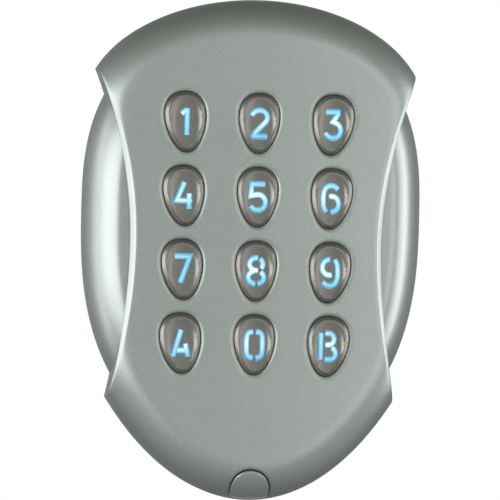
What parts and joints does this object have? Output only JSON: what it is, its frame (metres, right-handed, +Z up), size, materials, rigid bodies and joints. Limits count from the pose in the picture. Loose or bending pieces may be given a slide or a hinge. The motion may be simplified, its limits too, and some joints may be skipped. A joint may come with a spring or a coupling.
{
  "type": "backlit wall keypad",
  "caption": "Vandal-resistant backlit code keypad for a door: waisted cast cover on an oval side shell, egg-shaped lit keys, hinged on a hooked wall plate.",
  "frame": {"origin": "on the wall, at the centre of the back plate's rear face", "axes": "+X to the right of someone facing the keypad, +Y into the wall, +Z up"},
  "size_m": [0.102, 0.0309, 0.15],
  "materials": {
    "housing_paint": "satin metallic paint on a zinc casting",
    "key_metal": "dished, satin",
    "legend_light": "translucent, lit from behind",
    "led_body": "moulded",
    "cap_rubber": "moulded, matched to the cover",
    "mat_silicone": "moulded silicone",
    "board_laminate": "solder mask on glass laminate",
    "relay_plastic": "moulded",
    "terminal_plastic": "moulded",
    "black_plastic": "moulded",
    "plunger_plastic": "moulded",
    "screw_steel": "zinc-plated",
    "plate_zinc": "zinc-plated sheet",
    "seal_rubber": "moulded"
  },
  "bodies": {
    "wall_plate": {"back_plate": "plate_zinc", "housing_gasket": "seal_rubber", "cable_grommet": "seal_rubber"},
    "housing": {"front_cover": "housing_paint", "side_shell": "housing_paint", "keypad_mat": "mat_silicone", "circuit_board": "board_laminate", "tamper_switch": "black_plastic", "terminal_block": "terminal_plastic", "relay_left": "relay_plastic", "relay_right": "relay_plastic", "buzzer": "black_plastic", "microcontroller": "black_plastic", "cover_screw_1": "screw_steel", "cover_screw_2": "screw_steel", "cover_screw_3": "screw_steel", "cover_screw_4": "screw_steel", "board_screw_1": "screw_steel", "board_screw_2": "screw_steel", "board_screw_3": "screw_steel", "board_screw_4": "screw_steel", "led_1": "led_body", "led_2": "led_body", "led_3": "led_body", "led_4": "led_body", "led_5": "led_body", "led_6": "led_body", "led_7": "led_body", "led_8": "led_body", "led_9": "led_body", "led_A": "led_body", "led_0": "led_body", "led_B": "led_body"},
    "button_1": {"key_1": "key_metal", "legend_1": "legend_light"},
    "button_2": {"key_2": "key_metal", "legend_2": "legend_light"},
    "button_3": {"key_3": "key_metal", "legend_3": "legend_light"},
    "button_4": {"key_4": "key_metal", "legend_4": "legend_light"},
    "button_5": {"key_5": "key_metal", "legend_5": "legend_light"},
    "button_6": {"key_6": "key_metal", "legend_6": "legend_light"},
    "button_7": {"key_7": "key_metal", "legend_7": "legend_light"},
    "button_8": {"key_8": "key_metal", "legend_8": "legend_light"},
    "button_9": {"key_9": "key_metal", "legend_9": "legend_light"},
    "button_A": {"key_A": "key_metal", "legend_A": "legend_light"},
    "button_0": {"key_0": "key_metal", "legend_0": "legend_light"},
    "button_B": {"key_B": "key_metal", "legend_B": "legend_light"},
    "cap": {"screw_cap": "cap_rubber"},
    "lock_screw": {"security_screw": "screw_steel"},
    "plunger": {"tamper_plunger": "plunger_plastic"}
  },
  "joints": [
    {"name": "housing_swing", "type": "hinge", "parent": "wall_plate", "child": "housing", "pos_m": [0, -0.0056, 0.061], "axis": [-1, 0, 0], "range_deg": [0, 12]},
    {"name": "key_1_press", "type": "slide", "parent": "housing", "child": "button_1", "axis": [0, 1, 0], "range_m": [0, 0.0012], "stiffness_N_per_m": 900, "springref_m": -0.0006},
    {"name": "key_2_press", "type": "slide", "parent": "housing", "child": "button_2", "axis": [0, 1, 0], "range_m": [0, 0.0012], "stiffness_N_per_m": 900, "springref_m": -0.0006},
    {"name": "key_3_press", "type": "slide", "parent": "housing", "child": "button_3", "axis": [0, 1, 0], "range_m": [0, 0.0012], "stiffness_N_per_m": 900, "springref_m": -0.0006},
    {"name": "key_4_press", "type": "slide", "parent": "housing", "child": "button_4", "axis": [0, 1, 0], "range_m": [0, 0.0012], "stiffness_N_per_m": 900, "springref_m": -0.0006},
    {"name": "key_5_press", "type": "slide", "parent": "housing", "child": "button_5", "axis": [0, 1, 0], "range_m": [0, 0.0012], "stiffness_N_per_m": 900, "springref_m": -0.0006},
    {"name": "key_6_press", "type": "slide", "parent": "housing", "child": "button_6", "axis": [0, 1, 0], "range_m": [0, 0.0012], "stiffness_N_per_m": 900, "springref_m": -0.0006},
    {"name": "key_7_press", "type": "slide", "parent": "housing", "child": "button_7", "axis": [0, 1, 0], "range_m": [0, 0.0012], "stiffness_N_per_m": 900, "springref_m": -0.0006},
    {"name": "key_8_press", "type": "slide", "parent": "housing", "child": "button_8", "axis": [0, 1, 0], "range_m": [0, 0.0012], "stiffness_N_per_m": 900, "springref_m": -0.0006},
    {"name": "key_9_press", "type": "slide", "parent": "housing", "child": "button_9", "axis": [0, 1, 0], "range_m": [0, 0.0012], "stiffness_N_per_m": 900, "springref_m": -0.0006},
    {"name": "key_A_press", "type": "slide", "parent": "housing", "child": "button_A", "axis": [0, 1, 0], "range_m": [0, 0.0012], "stiffness_N_per_m": 900, "springref_m": -0.0006},
    {"name": "key_0_press", "type": "slide", "parent": "housing", "child": "button_0", "axis": [0, 1, 0], "range_m": [0, 0.0012], "stiffness_N_per_m": 900, "springref_m": -0.0006},
    {"name": "key_B_press", "type": "slide", "parent": "housing", "child": "button_B", "axis": [0, 1, 0], "range_m": [0, 0.0012], "stiffness_N_per_m": 900, "springref_m": -0.0006},
    {"name": "screw_cap_pull", "type": "slide", "parent": "housing", "child": "cap", "axis": [0, -1, 0], "range_m": [0, 0.012]},
    {"name": "security_screw_turn", "type": "hinge", "parent": "housing", "child": "lock_screw", "pos_m": [0, -0.0162, -0.0688], "axis": [0, -1, 0], "continuous": true},
    {"name": "tamper_plunger_slide", "type": "slide", "parent": "housing", "child": "plunger", "axis": [0, 1, 0], "range_m": [0, 0.002]}
  ],
  "couplings": [
    {"joint": "tamper_plunger_slide", "follows": "housing_swing", "m_per_rad": 0.009549}
  ]
}
